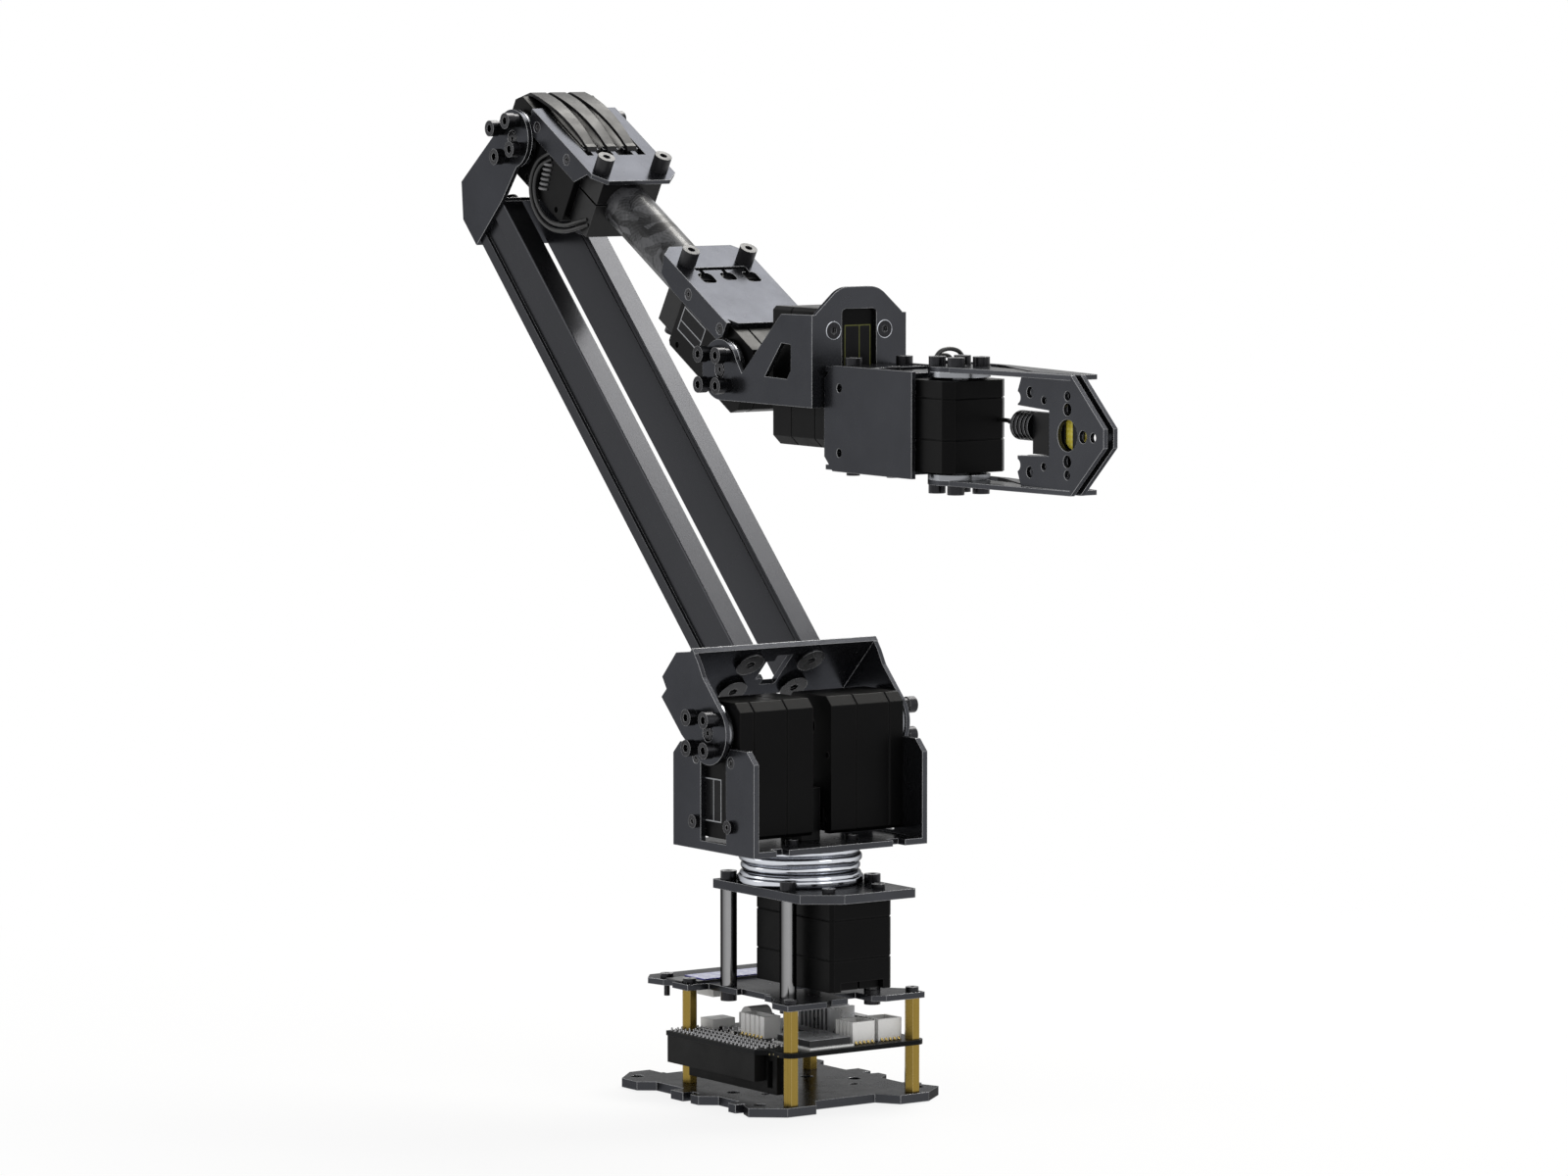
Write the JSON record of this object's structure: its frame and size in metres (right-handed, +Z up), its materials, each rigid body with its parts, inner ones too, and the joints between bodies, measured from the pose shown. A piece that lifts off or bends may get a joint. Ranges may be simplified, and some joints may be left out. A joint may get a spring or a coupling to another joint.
{
  "type": "desktop robot arm",
  "caption": "Desktop robot arm with a stacked base, twin-rail upper arm, composite tube forearm, pitch and roll wrist and a two-jaw gripper with a lamp.",
  "frame": {"origin": "on the table under the base yaw axis", "axes": "+Z up along the base yaw axis, +X the way the gripper points"},
  "size_m": [0.3413, 0.085, 0.3292],
  "materials": {
    "deck_plate": "satin dark blue-grey",
    "bracket": "satin dark blue-grey",
    "cover": "satin dark blue-grey",
    "jaw": "satin dark blue-grey",
    "servo_case": "fine moulded black",
    "spacer": "matte black",
    "horn": "turned",
    "screw": "black polished",
    "brass_column": "turned",
    "circuit_board": "black solder mask",
    "header": "matte black",
    "connector": "white nylon",
    "board_component": "mixed",
    "display": "glossy",
    "pillar": "turned",
    "bearing": "ground",
    "rail": "anodised dark grey",
    "post": "turned, black",
    "band": "dark grey",
    "clamp": "matte dark grey",
    "carbon": "marbled composite",
    "cable": "smooth black",
    "heatsink": "ribbed",
    "lamp_body": "matte black",
    "lamp_emitter": "yellow"
  },
  "bodies": {
    "base": {"base_plate": "deck_plate", "lower_standoffs": "brass_column", "driver_board": "circuit_board", "pin_header": "header", "bus_connectors": "connector", "board_parts": "board_component", "upper_standoffs": "brass_column", "middle_plate": "deck_plate", "display": "display", "pillars": "pillar", "top_plate": "deck_plate", "base_servo": "servo_case", "base_fasteners": "screw", "bearing_lower_ring": "bearing"},
    "turret": {"bearing_upper_ring": "bearing", "yaw_hub": "horn", "shoulder_bracket": "bracket", "shoulder_servo_near": "servo_case", "shoulder_servo_far": "servo_case", "servo_spacer": "spacer", "turret_screws": "screw"},
    "upper_arm": {"shoulder_horns": "horn", "lower_arm_bracket": "bracket", "arm_rail_near": "rail", "arm_rail_far": "rail", "elbow_bracket": "bracket", "rail_screws": "screw", "shoulder_horn_screws": "screw", "elbow_horns": "horn", "elbow_horn_screws": "screw"},
    "forearm": {"elbow_servo": "servo_case", "wrist_servo": "servo_case", "elbow_cover": "cover", "wrist_cover": "cover", "hook_posts": "post", "elastic_bands": "band", "rear_clamp_upper": "clamp", "rear_clamp_lower": "clamp", "front_clamp_upper": "clamp", "front_clamp_lower": "clamp", "carbon_tube": "carbon", "forearm_screws": "screw", "elbow_cable": "cable"},
    "wrist": {"wrist_horns": "horn", "wrist_bracket": "bracket", "roll_servo": "servo_case", "wrist_screws": "screw"},
    "tool": {"tool_channel": "bracket", "roll_horn": "horn", "gripper_servo": "servo_case", "tool_screws": "screw", "fixed_jaw": "jaw", "lamp_heatsink": "heatsink", "lamp_housing": "lamp_body", "lamp_led": "lamp_emitter", "gripper_cable": "cable", "lamp_cable": "cable"},
    "moving_jaw": {"moving_jaw": "jaw", "gripper_horns": "horn", "gripper_horn_screws": "screw"}
  },
  "joints": [
    {"name": "base_yaw", "type": "hinge", "parent": "base", "child": "turret", "pos_m": [0, 0, 0.0717], "axis": [0, 0, 1], "range_deg": [-180, 180]},
    {"name": "shoulder", "type": "hinge", "parent": "turret", "child": "upper_arm", "pos_m": [0, 0, 0.1231], "axis": [0, 1, 0], "range_deg": [-45, 90]},
    {"name": "elbow", "type": "hinge", "parent": "upper_arm", "child": "forearm", "pos_m": [-0.14393, 0, 0.31354], "axis": [0, 1, 0], "range_deg": [-150, 12]},
    {"name": "wrist_pitch", "type": "hinge", "parent": "forearm", "child": "wrist", "pos_m": [-0.01932, 0, 0.24038], "axis": [0, -1, 0], "range_deg": [-45, 60]},
    {"name": "wrist_roll", "type": "hinge", "parent": "wrist", "child": "tool", "pos_m": [0.033, 0, 0.22723], "axis": [1, 0, 0], "range_deg": [-180, 180]},
    {"name": "gripper", "type": "hinge", "parent": "tool", "child": "moving_jaw", "pos_m": [0.087, 0, 0.22723], "axis": [0, 0, 1], "range_deg": [-90, 0]}
  ]
}
